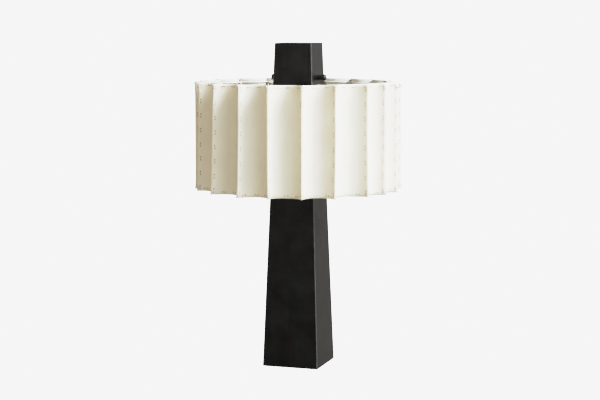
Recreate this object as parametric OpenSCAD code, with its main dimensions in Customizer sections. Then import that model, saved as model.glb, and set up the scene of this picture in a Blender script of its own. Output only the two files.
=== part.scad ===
// Table lamp: a tapered square column of black steel, cut in two and drawn apart,
// with a fluted parchment shade hung in the gap between the column and its cap.
// The lamp stands on Z = 0 with its axis on Z, and its broad front face looks along -Y.

/* [Column] */
// Side of the column at its foot
foot_side = 126.2; // [120:0.2:132]
// Side of the column at its open top, and of the cap at its lower edge
cut_side = 89.2; // [87:0.2:93]
// Height of the column's shell
column_h = 524; // [480:1:560]
// Thickness of the column's sheet
column_wall = 2.5; // [2:0.1:3]
// Width of the flat ground along each upright edge of the column and the cap
arris_w = 1.2; // [0.6:0.1:2]
// Height of the open gap between the column and the cap
light_gap = 97; // [90:1:110]

/* [Cap] */
// Height of the cap
cap_h = 89; // [80:1:110]
// Thickness of the cap's sheet
cap_wall = 2; // [1.5:0.1:2.5]
// Thickness of the plate that closes the cap
cap_top_t = 2.5; // [2:0.1:4]

/* [Foot] */
// How far the felt stands below the column's edge
foot_gap = 1; // [0.6:0.1:1.5]
// Thickness of the felt
felt_t = 2; // [1.8:0.1:3]
// Thickness of the base plate
base_t = 6; // [5:0.5:8]
// Play round the felt and round the base plate
base_play = 0.5; // [0.3:0.1:1]
// Length of the legs of the welded corner tabs
tab_leg = 24; // [20:1:28]
// Thickness of the corner tabs
tab_t = 6; // [4:0.5:8]
// Distance of each base screw from the two walls of its corner
screw_inset = 8; // [7:0.5:9]
// Thread diameter of the base screws
base_screw_d = 4; // [3:0.5:4.5]
// Length of the base screws
base_screw_l = 11; // [10:0.5:12]
// Side of the ballast block
ballast_side = 84; // [70:1:88]
// Height of the ballast block
ballast_h = 38; // [25:1:60]
// Width of the bevel round the ballast block's top
ballast_bevel = 4; // [2:0.5:6]
// Thread diameter of the ballast screws
ballast_screw_d = 6; // [5:0.5:8]
// Length of the ballast screws
ballast_screw_l = 24; // [18:1:28]
// Distance between the two ballast screws
ballast_screw_gap = 48; // [30:1:56]

/* [Cord inlet] */
// Height of the inlet's centre above the surface that the lamp stands on
inlet_z = 25; // [22:1:40]
// Bore of the grommet, which takes a 6 mm flex
inlet_bore = 7; // [6:0.1:8]
// Diameter of the hole in the column's rear wall
inlet_hole = 12; // [11:0.5:14]
// Diameter of the grommet's two flanges
inlet_flange = 17; // [16:0.5:20]
// Thickness of each flange
inlet_flange_t = 1.6; // [1.2:0.1:2.2]

/* [Socket mounting] */
// Thickness of the plate welded inside the column's top
deck_t = 3; // [2:0.5:4]
// Outside diameter of the threaded nipple
nipple_d = 10; // [9:0.5:11]
// Bore of the nipple
nipple_bore = 7.2; // [6:0.1:7.5]
// How far the nipple reaches below the plate
nipple_below = 12; // [10:0.5:20]
// How far the nipple reaches into the socket's cap
nipple_into = 7; // [5:0.5:8]
// Width across the flats of the nipple's nuts
nipple_nut_af = 14; // [13:0.5:16]
// Thickness of the nipple's nuts
nipple_nut_t = 4; // [3:0.5:5]
// Thickness of the lock washer
lock_washer_t = 1; // [0.8:0.1:1.5]

/* [Socket] */
// Height of the whole socket
socket_h = 50; // [49:0.5:55]
// Outside diameter of the socket's shell
socket_d = 37; // [36:0.5:40]
// Sheet thickness of the socket's shell and cap
socket_wall = 0.8; // [0.6:0.1:1]
// Height of the socket's cap
socket_cap_h = 15; // [14:0.5:17]
// How far the shell reaches down into the cap
socket_lap = 4; // [3:0.5:5]
// Thickness of the insulating sleeve
liner_t = 0.8; // [0.6:0.1:1]
// Height of the insulating body that carries the contacts
socket_body_h = 10; // [8:0.5:11]
// Depth of the socket's screw shell
screw_shell_h = 26; // [25:0.5:27]
// Inside diameter of the socket's screw shell
screw_shell_d = 26.8; // [26.6:0.1:27.2]
// Sheet thickness of the screw shell
screw_shell_t = 0.5; // [0.4:0.1:0.6]

/* [Bulb] */
// Diameter of the bulb
bulb_d = 60; // [54:1:62]
// Height of the bulb's glass
bulb_glass_h = 82; // [80:1:88]
// Thickness of the glass
bulb_glass_t = 1; // [0.8:0.1:1.5]
// Diameter of the glass neck
bulb_neck_d = 29; // [28:0.5:32]
// Radius of the hollow curve from the neck to the round of the bulb
bulb_flare_r = 30; // [24:1:36]
// Diameter of the bulb's screw base
bulb_base_d = 26.2; // [26:0.1:26.4]
// Height of the bulb's screw base
bulb_base_h = 21; // [20:0.5:22]
// Sheet thickness of the bulb's screw base
bulb_base_t = 0.4; // [0.3:0.1:0.5]
// Diameter of the contact under the bulb
bulb_contact_d = 9; // [8:0.5:11]
// Play between the bulb's top and the harp
bulb_clear = 5; // [4:0.5:8]

/* [Harp] */
// Diameter of the harp's rod
harp_d = 4.8; // [4:0.2:5]
// Play between the harp's legs and the column's wall
harp_play = 2.7; // [2:0.1:3]
// Bend radius of the harp's shoulders, on the centre line
harp_bend_r = 27; // [20:1:30]
// Width of the harp's saddle
saddle_w = 16; // [16:0.5:20]
// Thickness of the saddle
saddle_t = 2; // [1.5:0.1:3]
// Outside diameter of the ferrules
ferrule_d = 8; // [7:0.5:9]
// Height of the ferrules
ferrule_h = 14; // [10:0.5:18]
// Diameter of the boss on the harp's top
boss_d = 12; // [11:0.5:14]
// Height of the boss
boss_h = 8; // [7:0.5:10]
// Diameter of the stud on the boss
stud_d = 6.4; // [6:0.1:7]
// How far the stud stands above its nut
stud_over = 3; // [2:0.5:5]

/* [Cap mounting] */
// Thickness of the square plate that the cap stands on
seat_t = 2; // [1.5:0.1:3]
// Thickness of the collar between the shade's hub and that plate
collar_t = 3.5; // [3:0.1:5]
// Diameter of that collar
collar_d = 18; // [16:0.5:22]
// Thickness of the clamping strap
strap_t = 2.5; // [2:0.1:3]
// Width of the strap
strap_w = 20; // [16:0.5:26]
// Distance over the outsides of the strap's legs
strap_span = 66; // [62:0.5:68]
// Height of the strap's legs above the seat plate
strap_h = 26; // [24:0.5:34]
// Inside bend radius of the strap
strap_bend_r = 3; // [2:0.5:5]
// Diameter of the washer under the stud's nut
nut_washer_d = 16; // [14:0.5:18]
// Thickness of that washer
nut_washer_t = 1.5; // [1:0.1:2]
// Width across the flats of the stud's nut
stud_nut_af = 11; // [10:0.5:13]
// Thickness of the stud's nut
stud_nut_t = 5; // [4:0.5:7]

/* [Thumb screws] */
// Height of the thumb screws above the cap's lower edge
thumb_rise = 14; // [12:0.5:18]
// Diameter of the knobs' heads
knob_d = 13.4; // [12:0.2:15]
// Length of the knobs' heads
knob_l = 8; // [6:0.5:12]
// Radius of the round on each head's outer edge
knob_round = 2.5; // [1:0.5:5]
// Diameter of the collars under the heads
knob_collar_d = 11; // [9:0.5:11.5]
// Length of the collars under the heads
knob_collar_l = 9.4; // [6:0.1:12]
// Thread diameter of the thumb screws
thumb_d = 5; // [4:0.5:6]
// Rise of the thread in one turn
thumb_pitch = 0.8; // [0.7:0.1:1]
// Turns from clamped to fully slack
thumb_turns = 2.5; // [2:0.25:3]
// Thickness of the weld nuts
weld_nut_t = 2.8; // [2.4:0.1:3.2]
// Width across the flats of the weld nuts
weld_nut_af = 8; // [7.5:0.5:10]
// Diameter of the pads that press on the strap
pad_d = 9; // [8:0.5:10]
// Thickness of the pads
pad_t = 3; // [2.5:0.1:3.4]
// Diameter of the pin that holds each pad
pad_pin_d = 3; // [2.5:0.1:3.5]
// Length of that pin
pad_pin_l = 2; // [1.5:0.1:2.3]

/* [Shade] */
// Diameter of the shade over its ridges
shade_d = 456; // [420:2:480]
// Height of the shade
shade_h = 236; // [200:1:250]
// How far the shade's top stands above the cap's lower edge
shade_rise = 5; // [2:1:9]
// Number of panels, which are also the flutes
panel_count = 20; // [16:4:20]
// Depth of each flute
flute_depth = 26; // [16:1:27]
// Thickness of the parchment
panel_t = 1.2; // [0.8:0.1:1.5]
// Turn of the first ridge from the front face's middle towards the +X side, in degrees
ridge_turn = 2; // [0:1:9]
// Unevenness of the hand-set ridges, from none at 0 to the real one's at 1
unevenness = 1; // [0:0.1:1]
// Diameter of the frame's wire
wire_d = 3; // [2.5:0.1:4]
// How far each ring's centre lies inside the shade's edge
ring_inset = 9; // [5:0.5:12]
// Diameter of the spider's hub
hub_d = 30; // [26:1:36]
// Thickness of the hub
hub_t = 3; // [2.5:0.1:4]
// Number of the spider's arms
arm_count = 4; // [4:4:4]
// Number of the ridge that the first arm runs to
first_arm = 2; // [1:1:4]
// Diameter of the arms' rod
arm_d = 4; // [3.5:0.1:5]

/* [Clearances] */
// Radial play of a turning or sliding fit
run_fit = 0.05; // [0.02:0.01:0.09]
// Radial play of a clearance hole round its screw or stud
hole_play = 0.3; // [0.2:0.05:0.5]
// Gap between parts that lie against each other on curved faces
touch = 0.1; // [0.05:0.05:0.3]
// Gap between the clamped pad and the strap
pad_gap = 0.3; // [0.2:0.05:0.4]
// Gap between the edges of neighbouring panels
panel_gap = 0.4; // [0.2:0.1:0.8]
// Depth of a tapped hole past the end of its screw
hole_past = 1; // [0.5:0.1:3]
// Gap between each pad, fully slack, and its weld nut
nut_gap = 0.7; // [0.6:0.1:1]

/* [Hidden] */
$fn = 96;

// Cutting tools run this far past the faces they cut
over = 1;

// Colours
black_steel = "#1c1c1d";
bare_steel = "#8d9096";
brass = "#b89a52";
parchment = "#ece8da";
white_enamel = "#e6e4dd";

// Levels of the column, from the foot up
shell_z = foot_gap;
column_top = shell_z + column_h;
cap_z = column_top + light_gap;
taper = (foot_side - cut_side) / column_h;
wall_lean = atan(taper / 2);

// Levels of the stack on the harp's stud, from the cap's lower edge down
seat_z = cap_z - seat_t;
collar_z = seat_z - collar_t;
hub_z = collar_z - hub_t;
boss_z = hub_z - boss_h;
bow_z = boss_z + boss_h / 2;
// and from there up
strap_top = cap_z + strap_t;
stud_nut_z = strap_top + nut_washer_t;
stud_top = stud_nut_z + stud_nut_t + stud_over;

// Levels of the bulb and its socket, from the harp's top down
bulb_top = bow_z - harp_d / 2 - bulb_clear;
glass_z = bulb_top - bulb_glass_h;
socket_top = glass_z;
socket_z = socket_top - socket_h;
saddle_z = socket_z - nipple_nut_t - saddle_t;
harp_span = inner_side(column_top) - 2 * harp_play - harp_d;
deck_z = saddle_z - deck_t;
shell_rest = socket_top - screw_shell_h;

// Levels of the foot
felt_side = inner_side(shell_z + felt_t) - 2 * base_play;
plate_z = felt_t;
plate_top = plate_z + base_t;
plate_side = inner_side(plate_top) - 2 * base_play;
screw_reach = inner_side(plate_top) / 2 - screw_inset;

// Degrees that the ridges stray from an even spacing, in turn from the first
strays = [-0.5, -0.5, -0.5, 1.5, -2, -4, 0, 3, 2.5, 1, 0, 0, -0.5, 0.5, -1, 0, 0, -4, -2, 0];

// The shade's plan: each flute is an arc about a centre outside the ridge circle,
// and all the arcs have the same bend, whatever the distance between their ridges
ridge_r = shade_d / 2;
arc_rise = flute_depth / (ridge_r * sin(180 / panel_count));
arc_r = (1 + pow(arc_rise, 2)) / (2 * arc_rise);
shade_top = cap_z + shade_rise;
shade_z = shade_top - shade_h;
top_ring_z = shade_top - ring_inset;
bottom_ring_z = shade_z + ring_inset;

// The thumb screws lie on X, at one height
thumb_z = cap_z + thumb_rise;
thumb_travel = thumb_turns * thumb_pitch;
pad_x = strap_span / 2 + pad_gap;
pad_end = pad_x + pad_t;
nut_x = pad_end + thumb_travel + nut_gap;
collar_x = cap_side(thumb_z - knob_d / 2) / 2 + touch;

// Turn of a ridge about the axis, from +X
function ridge_at(n) =
  ridge_turn - 90 + n * 360 / panel_count + unevenness * strays[n % panel_count];
// Panel n lies between the ridges n and n + 1
function half_panel(n) = (ridge_at(n + 1) - ridge_at(n)) / 2;
function panel_at(n) = (ridge_at(n + 1) + ridge_at(n)) / 2;
function half_chord(n) = ridge_r * sin(half_panel(n));
function flute_r(n) = half_chord(n) * arc_r;
function flute_axis(n) =
  ridge_r * cos(half_panel(n)) - half_chord(n) * arc_rise + flute_r(n);
// The bow of wire behind the panel, which ends where it would meet the next panel's
function bow_r(n) = flute_r(n) + wire_d / 2 + touch;
function bow_reach(n) = flute_axis(n) * sin(half_panel(n)) - touch / 2;
function bow_half(n) = asin(bow_reach(n) / (bow_r(n) + wire_d / 2)) - half_panel(n);
// Distance from the axis at which an upright behind either of its ridges lies against that wire
function seat_in(n) =
  flute_axis(n) * cos(half_panel(n))
  - sqrt(pow(bow_r(n) + wire_d + touch, 2) - pow(flute_axis(n) * sin(half_panel(n)), 2));
// Distance from the axis at which ridge n's upright is clear of the wires on both sides
function upright_at(n) = min(seat_in(n), seat_in((n + panel_count - 1) % panel_count));

// Side of the column, and of the space inside it, at a height
function column_side(z) = foot_side - taper * (z - shell_z);
function inner_side(z) = column_side(z) - 2 * column_wall;
// The same for the cap, which goes on with the column's taper
function cap_side(z) = cut_side - taper * (z - cap_z);
function cap_inner(z) = cap_side(z) - 2 * cap_wall;

// A tapered square block from one height to another, with its sides given at both
module taper_block(z0, z1, side0, side1) {
  intersection() {
    taper_slab(z0, z1, side0, side1, side0);
    rotate(90) taper_slab(z0, z1, side0, side1, side0);
  }
}

// The same block with its four upright edges ground flat
module ground_block(z0, z1, side0, side1) {
  wide0 = side0 * sqrt(2) - arris_w;
  wide1 = side1 * sqrt(2) - arris_w;
  intersection() {
    taper_block(z0, z1, side0, side1);
    rotate(45) taper_slab(z0, z1, wide0, wide1, side0 * 2);
    rotate(135) taper_slab(z0, z1, wide0, wide1, side0 * 2);
  }
}

// A slab whose width along X tapers upwards and whose depth along Y stays the same
module taper_slab(z0, z1, wide0, wide1, deep) {
  rotate([90, 0, 0])
    linear_extrude(height = deep + 2 * over, center = true)
      polygon([[-wide0 / 2, z0], [wide0 / 2, z0], [wide1 / 2, z1], [-wide1 / 2, z1]]);
}

// The space inside the column between two heights
module column_space(z0, z1) {
  taper_block(z0, z1, inner_side(z0), inner_side(z1));
}

module ring(d_out, d_in, h) {
  difference() {
    cylinder(d = d_out, h = h);
    translate([0, 0, -over]) cylinder(d = d_in, h = h + 2 * over);
  }
}

// A hexagon nut with a round hole, standing on its lower face
module hex_nut(across, bore, h) {
  difference() {
    cylinder(d = across / cos(30), h = h, $fn = 6);
    translate([0, 0, -over]) cylinder(d = bore, h = h + 2 * over);
  }
}

// A countersunk screw standing head down, as long as its whole shape
module sunk_screw(d, l) {
  cylinder(d1 = 2 * d, d2 = d, h = d / 2);
  cylinder(d = d, h = l);
}

// The hole that takes such a screw, a little larger all over
module sunk_hole(d, l) {
  wide = d + 2 * run_fit;
  translate([0, 0, -over]) cylinder(d = 2 * d + 2 * run_fit, h = over);
  cylinder(d1 = 2 * d + 2 * run_fit, d2 = wide, h = d / 2);
  cylinder(d = wide, h = l + over);
}

// Puts its children at the four corners of a square round the axis
module at_corners(reach) {
  for (turn = [0 : 90 : 270]) rotate(turn) translate([reach, reach, 0]) children();
}

// Puts its children on the column's rear wall with their Z along the wall's outward normal
module on_rear_wall(z) {
  translate([0, column_side(z) / 2, z]) rotate([wall_lean - 90, 0, 0]) children();
}

module felt_pad() {
  color("#2a2a28")
    translate([-felt_side / 2, -felt_side / 2, 0]) cube([felt_side, felt_side, felt_t]);
}

module base_plate() {
  color(black_steel)
    difference() {
      translate([-plate_side / 2, -plate_side / 2, plate_z]) cube([plate_side, plate_side, base_t]);
      at_corners(screw_reach) translate([0, 0, plate_z]) sunk_hole(base_screw_d, base_t);
      at_ballast_screws() sunk_hole(ballast_screw_d, base_t);
    }
}

module base_screws() {
  color(bare_steel)
    at_corners(screw_reach) translate([0, 0, plate_z]) sunk_screw(base_screw_d, base_screw_l);
}

// Triangular tabs welded into the corners of the shell, tapped for the base screws
module corner_tabs() {
  color(black_steel)
    difference() {
      intersection() {
        column_space(plate_top, plate_top + tab_t);
        at_corners(inner_side(plate_top) / 2)
          translate([0, 0, plate_top])
            linear_extrude(height = tab_t)
              polygon([[over, over], [over, -tab_leg], [-tab_leg, over]]);
      }
      at_corners(screw_reach)
        translate([0, 0, plate_top - over])
          cylinder(d = base_screw_d + 2 * run_fit, h = tab_t + 2 * over);
    }
}

module at_ballast_screws() {
  for (side = [-1, 1]) translate([side * ballast_screw_gap / 2, 0, plate_z]) children();
}

module ballast_block() {
  top = plate_top + ballast_h;
  waist = top - ballast_bevel;
  color("#3a3a3c")
    difference() {
      union() {
        taper_block(plate_top, waist, ballast_side, ballast_side);
        taper_block(waist, top, ballast_side, ballast_side - 2 * ballast_bevel);
      }
      at_ballast_screws()
        cylinder(d = ballast_screw_d + 2 * run_fit, h = ballast_screw_l + hole_past);
    }
}

module ballast_screws() {
  color(bare_steel) at_ballast_screws() sunk_screw(ballast_screw_d, ballast_screw_l);
}

module column_shell() {
  color(black_steel)
    difference() {
      ground_block(shell_z, column_top, foot_side, cut_side);
      column_space(shell_z - over, column_top + over);
      on_rear_wall(inlet_z)
        translate([0, 0, -column_wall - over]) cylinder(d = inlet_hole, h = column_wall + 2 * over);
    }
}

// A rubber grommet with a flange on each side of the column's wall
module cord_grommet() {
  neck = column_wall + 2 * touch;
  color("#161616")
    on_rear_wall(inlet_z)
      difference() {
        union() {
          translate([0, 0, touch]) cylinder(d = inlet_flange, h = inlet_flange_t);
          translate([0, 0, touch - neck]) cylinder(d = inlet_hole - 2 * touch, h = neck);
          translate([0, 0, touch - neck - inlet_flange_t])
            cylinder(d = inlet_flange, h = inlet_flange_t);
        }
        translate([0, 0, -neck - inlet_flange_t - over])
          cylinder(d = inlet_bore, h = neck + 2 * inlet_flange_t + 3 * over);
      }
}

// The plate welded inside the column's top, some way below its edge
module column_deck() {
  color(black_steel)
    difference() {
      column_space(deck_z, deck_z + deck_t);
      translate([0, 0, deck_z - over]) cylinder(d = nipple_d + 2 * touch, h = deck_t + 2 * over);
    }
}

module nipple() {
  bottom = deck_z - nipple_below;
  color(bare_steel)
    translate([0, 0, bottom]) ring(nipple_d, nipple_bore, socket_z + nipple_into - bottom);
}

module nipple_nuts() {
  bore = nipple_d + 2 * run_fit;
  color(brass) {
    translate([0, 0, socket_z - nipple_nut_t]) hex_nut(nipple_nut_af, bore, nipple_nut_t);
    translate([0, 0, deck_z - lock_washer_t - nipple_nut_t])
      hex_nut(nipple_nut_af, bore, nipple_nut_t);
  }
}

module lock_washer() {
  color(bare_steel)
    translate([0, 0, deck_z - lock_washer_t])
      ring(nipple_nut_af + 2, nipple_d + 2 * touch, lock_washer_t);
}

// A flat bar with round ends, which carries the harp's two ferrules
module harp_saddle() {
  color(brass)
    translate([0, 0, saddle_z])
      linear_extrude(height = saddle_t)
        difference() {
          union() {
            square([ferrule_d, harp_span], center = true);
            for (end = [-1, 1]) translate([0, end * harp_span / 2]) circle(d = ferrule_d);
            circle(d = saddle_w);
          }
          circle(d = nipple_d + 2 * touch);
        }
}

module harp_ferrules() {
  color(brass)
    for (end = [-1, 1])
      translate([0, end * harp_span / 2, saddle_z + saddle_t])
        ring(ferrule_d, harp_d + 2 * run_fit, ferrule_h);
}

// One bent rod: two legs, two shoulders and the top
module harp_bow() {
  leg_z = saddle_z + saddle_t;
  shoulder_y = harp_span / 2 - harp_bend_r;
  shoulder_z = bow_z - harp_bend_r;
  color(brass) {
    for (end = [0, 180]) rotate(end) {
      translate([0, harp_span / 2, leg_z]) cylinder(d = harp_d, h = shoulder_z - leg_z);
      translate([0, shoulder_y, shoulder_z])
        rotate([90, 0, 90])
          rotate_extrude(angle = 90) translate([harp_bend_r, 0]) circle(d = harp_d);
    }
    translate([0, shoulder_y, bow_z]) rotate([90, 0, 0]) cylinder(d = harp_d, h = 2 * shoulder_y);
  }
}

// The turned boss on the harp's top, cross drilled for the rod, with its threaded stud
module harp_stud() {
  color(brass)
    difference() {
      union() {
        translate([0, 0, boss_z]) cylinder(d = boss_d, h = boss_h);
        translate([0, 0, hub_z]) cylinder(d = stud_d, h = stud_top - hub_z);
      }
      translate([0, 0, bow_z])
        rotate([90, 0, 0])
          cylinder(d = harp_d + 2 * run_fit, h = boss_d + 2 * over, center = true);
    }
}

// The cup under the socket, with a collar for the nipple
module socket_cap() {
  outer = socket_d + 2 * (socket_wall + touch);
  neck = nipple_d + 2 * (run_fit + socket_wall);
  color(brass)
    translate([0, 0, socket_z])
      difference() {
        union() {
          cylinder(d1 = outer - socket_cap_h, d2 = outer, h = socket_cap_h / 2);
          translate([0, 0, socket_cap_h / 2]) cylinder(d = outer, h = socket_cap_h / 2);
        }
        difference() {
          union() {
            translate([0, 0, socket_wall])
              cylinder(
                d1 = outer - socket_cap_h - 2 * socket_wall, d2 = outer - 2 * socket_wall,
                h = socket_cap_h / 2
              );
            translate([0, 0, socket_cap_h / 2 + socket_wall])
              cylinder(d = outer - 2 * socket_wall, h = socket_cap_h);
          }
          cylinder(d = neck, h = nipple_into);
        }
        translate([0, 0, -over]) cylinder(d = nipple_d + 2 * run_fit, h = socket_cap_h);
      }
}

module socket_shell() {
  bottom = socket_z + socket_cap_h - socket_lap;
  color(brass)
    translate([0, 0, bottom]) ring(socket_d, socket_d - 2 * socket_wall, socket_top - bottom);
}

module socket_liner() {
  bottom = shell_rest - socket_body_h;
  outer = socket_d - 2 * (socket_wall + touch);
  color("#6b5a45")
    translate([0, 0, bottom]) ring(outer, outer - 2 * liner_t, socket_top - bottom);
}

// The insulating body inside the sleeve, with a passage for the wires
module socket_body() {
  color(white_enamel)
    translate([0, 0, shell_rest - socket_body_h])
      difference() {
        cylinder(d = socket_d - 2 * (socket_wall + liner_t + 2 * touch), h = socket_body_h);
        for (side = [-1, 1])
          translate([0, side * socket_d / 4, -over])
            cylinder(d = 3, h = socket_body_h + 2 * over);
      }
}

module socket_screw_shell() {
  color(brass)
    translate([0, 0, shell_rest])
      ring(screw_shell_d + 2 * screw_shell_t, screw_shell_d, screw_shell_h);
}

// The sprung tongue that meets the bulb's contact
module socket_contact() {
  foot = bulb_contact_d;
  color(brass)
    translate([0, 0, shell_rest]) {
      cylinder(d = foot, h = screw_shell_t);
      cylinder(d = foot / 2, h = tip_z() - shell_rest);
    }
}

// Height of the lowest point of the bulb's contact
function tip_z() = glass_z - bulb_base_h - bulb_insulator_h() - screw_shell_t;
function bulb_insulator_h() = (screw_shell_h - bulb_base_h) / 2;

// The outline of the glass as a half plan, drawn in by t
module glass_outline(t) {
  round_z = bulb_glass_h - bulb_d / 2;
  flare_x = bulb_neck_d / 2 + bulb_flare_r;
  flare_z = round_z - sqrt(pow(bulb_d / 2 + bulb_flare_r, 2) - pow(flare_x, 2));
  intersection() {
    union() {
      translate([0, round_z]) circle(r = bulb_d / 2 - t);
      difference() {
        polygon([
          [0, 0], [bulb_neck_d / 2 - t, 0], [bulb_neck_d / 2 - t, flare_z],
          [flare_x, flare_z], [0, round_z]
        ]);
        translate([flare_x, flare_z]) circle(r = bulb_flare_r + t);
      }
    }
    square([bulb_d, bulb_glass_h]);
  }
}

module bulb_glass() {
  color(white_enamel)
    translate([0, 0, glass_z])
      rotate_extrude()
        difference() {
          glass_outline(0);
          difference() {
            glass_outline(bulb_glass_t);
            square([bulb_d, bulb_glass_t]);
          }
        }
}

module bulb_base() {
  color(bare_steel)
    translate([0, 0, glass_z - bulb_base_h])
      ring(bulb_base_d, bulb_base_d - 2 * bulb_base_t, bulb_base_h);
}

// The black glass that closes the base round the contact
module bulb_insulator() {
  h = bulb_insulator_h();
  color("#141414")
    translate([0, 0, glass_z - bulb_base_h - h])
      cylinder(d1 = bulb_contact_d + 2, d2 = bulb_base_d - 1, h = h);
}

module bulb_contact() {
  color(brass) translate([0, 0, tip_z()]) cylinder(d = bulb_contact_d, h = screw_shell_t);
}

module spider_hub() {
  color(white_enamel)
    translate([0, 0, hub_z]) ring(hub_d, stud_d + 2 * run_fit, hub_t);
}

// Turns its children, drawn along +X, to the ridge with this number
module at_ridge(number) {
  rotate(ridge_at(number)) children();
}

// A piece of a ring of round wire about Z, from one angle to another
module wire_arc(r, d, from, to) {
  rotate(from) rotate_extrude(angle = to - from) translate([r, 0]) circle(d = d);
}

// Straight arms that rise a little from the hub to the uprights at the top ring
module spider_arms() {
  color(white_enamel)
    for (arm = [0 : arm_count - 1]) spider_arm(first_arm + arm * panel_count / arm_count);
}

module spider_arm(number) {
  foot_z = hub_z + hub_t / 2;
  rise = top_ring_z - foot_z;
  lean = arm_d / 2 * rise / (upright_at(number) - hub_d / 2);
  start = hub_d / 2 + touch + lean;
  run = upright_at(number) - wire_d / 2 - touch - lean - start;
  at_ridge(number)
    translate([start, 0, foot_z])
      rotate([0, 90 - atan(rise / run), 0]) cylinder(d = arm_d, h = norm([run, rise]));
}

// Bows of wire, one behind each flute, which end where they would meet at the ridges
module scalloped_ring(z) {
  for (number = [0 : panel_count - 1])
    rotate(panel_at(number))
      translate([flute_axis(number), 0, z])
        wire_arc(bow_r(number), wire_d, 180 - bow_half(number), 180 + bow_half(number));
}

module shade_top_ring() {
  color(white_enamel) scalloped_ring(top_ring_z);
}

module shade_bottom_ring() {
  color(white_enamel) scalloped_ring(bottom_ring_z);
}

// Straight wires, one behind each ridge, that lie against the bows on both sides
module shade_uprights() {
  bottom = bottom_ring_z - wire_d / 2;
  color(white_enamel)
    for (number = [0 : panel_count - 1])
      at_ridge(number)
        translate([upright_at(number), 0, bottom])
          cylinder(d = wire_d, h = top_ring_z + wire_d / 2 - bottom);
}

// The plan of one panel, with its middle on +X: an arc of parchment between two ridges
module panel_plan(number) {
  half = half_panel(number);
  tip = ridge_r * cos(half);
  start = panel_gap / 2 / sin(half);
  reach = (tip - start) * tan(half);
  intersection() {
    translate([flute_axis(number), 0])
      difference() {
        circle(r = flute_r(number));
        circle(r = flute_r(number) - panel_t);
      }
    polygon([[start, 0], [tip, reach], [tip, -reach]]);
  }
}

module shade_panels() {
  color(parchment)
    for (number = [0 : panel_count - 1])
      rotate(panel_at(number))
        translate([0, 0, shade_z]) linear_extrude(height = shade_h) panel_plan(number);
}

module spacer_collar() {
  color(bare_steel)
    translate([0, 0, collar_z]) ring(collar_d, stud_d + 2 * hole_play, collar_t);
}

// The square plate under the cap, flush with the cap's edge
module cap_seat() {
  color(black_steel)
    difference() {
      translate([-cut_side / 2, -cut_side / 2, seat_z]) cube([cut_side, cut_side, seat_t]);
      translate([0, 0, seat_z - over]) cylinder(d = stud_d + 2 * hole_play, h = seat_t + 2 * over);
    }
}

// The outline of the strap seen along Y, as a U with round bends
module strap_outline(inset) {
  bend = strap_bend_r + strap_t - inset;
  half = strap_span / 2 - inset;
  intersection() {
    union() {
      for (side = [-1, 1]) translate([side * (half - bend), bend + inset]) circle(r = bend);
      translate([-half, bend + inset]) square([2 * half, strap_h]);
      translate([bend - half, inset]) square([2 * (half - bend), strap_h]);
    }
    translate([-half, 0]) square([2 * half, strap_h + inset]);
  }
}

// A strap bent into a U, on which the thumb screws clamp
module clamp_strap() {
  color(bare_steel)
    translate([0, 0, cap_z])
      difference() {
        rotate([90, 0, 0])
          linear_extrude(height = strap_w, center = true)
            difference() {
              strap_outline(0);
              strap_outline(strap_t);
            }
        translate([0, 0, -over]) cylinder(d = stud_d + 2 * hole_play, h = strap_t + 2 * over);
      }
}

module strap_washer() {
  color(bare_steel)
    translate([0, 0, strap_top]) ring(nut_washer_d, stud_d + 2 * hole_play, nut_washer_t);
}

module strap_nut() {
  color(brass)
    translate([0, 0, stud_nut_z]) hex_nut(stud_nut_af, stud_d + 2 * run_fit, stud_nut_t);
}

// Puts its children on the +X side with their Z pointing out of the cap along X
module on_right(x) {
  translate([x, 0, thumb_z]) rotate([0, 90, 0]) children();
}

module cap_shell() {
  top = cap_z + cap_h;
  color(black_steel)
    difference() {
      ground_block(cap_z, top, cap_side(cap_z), cap_side(top));
      taper_block(cap_z - over, top + over, cap_inner(cap_z - over), cap_inner(top + over));
      for (side = [0, 180])
        rotate(side) on_right(nut_x) cylinder(d = thumb_d + 2 * hole_play, h = cut_side / 2);
    }
}

// The plate that closes the cap, welded flush between its walls
module cap_top() {
  top = cap_z + cap_h;
  color(black_steel)
    taper_block(top - cap_top_t, top, cap_inner(top - cap_top_t), cap_inner(top));
}

// Hexagon nuts welded inside the cap, reaching to its leaning wall
module weld_nuts() {
  color(bare_steel)
    intersection() {
      for (side = [0, 180])
        rotate(side)
          on_right(nut_x) hex_nut(weld_nut_af, thumb_d + 2 * run_fit, weld_nut_t + cap_wall);
      taper_block(cap_z, cap_z + cap_h, cap_inner(cap_z), cap_inner(cap_z + cap_h));
    }
}

// A pad on the end of the screw, held by the screw's pin
module thumb_pad() {
  on_right(pad_x)
    difference() {
      cylinder(d = pad_d, h = pad_t);
      translate([0, 0, pad_t - pad_pin_l - touch])
        cylinder(d = pad_pin_d + 2 * run_fit, h = pad_pin_l + touch + over);
    }
}

// Pin, thread, collar and head, turned in one piece, with the head's outer edge rounded
module thumb_screw() {
  start = pad_end - pad_pin_l;
  pin_end = pad_pin_l + touch;
  collar_at = collar_x - start;
  head_at = collar_at + knob_collar_l;
  tip_at = head_at + knob_l;
  on_right(start)
    rotate_extrude() {
      square([pad_pin_d / 2, tip_at]);
      translate([0, pin_end]) square([thumb_d / 2, tip_at - pin_end]);
      translate([0, collar_at]) square([knob_collar_d / 2, tip_at - collar_at]);
      translate([0, head_at]) square([knob_d / 2, knob_l - knob_round]);
      translate([0, head_at]) square([knob_d / 2 - knob_round, knob_l]);
      translate([knob_d / 2 - knob_round, tip_at - knob_round])
        intersection() {
          circle(r = knob_round);
          square(knob_round);
        }
    }
}

module right_pad() {
  color(brass) thumb_pad();
}

module right_thumb_screw() {
  color(black_steel) thumb_screw();
}

module left_pad() {
  color(brass) rotate(180) thumb_pad();
}

module left_thumb_screw() {
  color(black_steel) rotate(180) thumb_screw();
}

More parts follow.
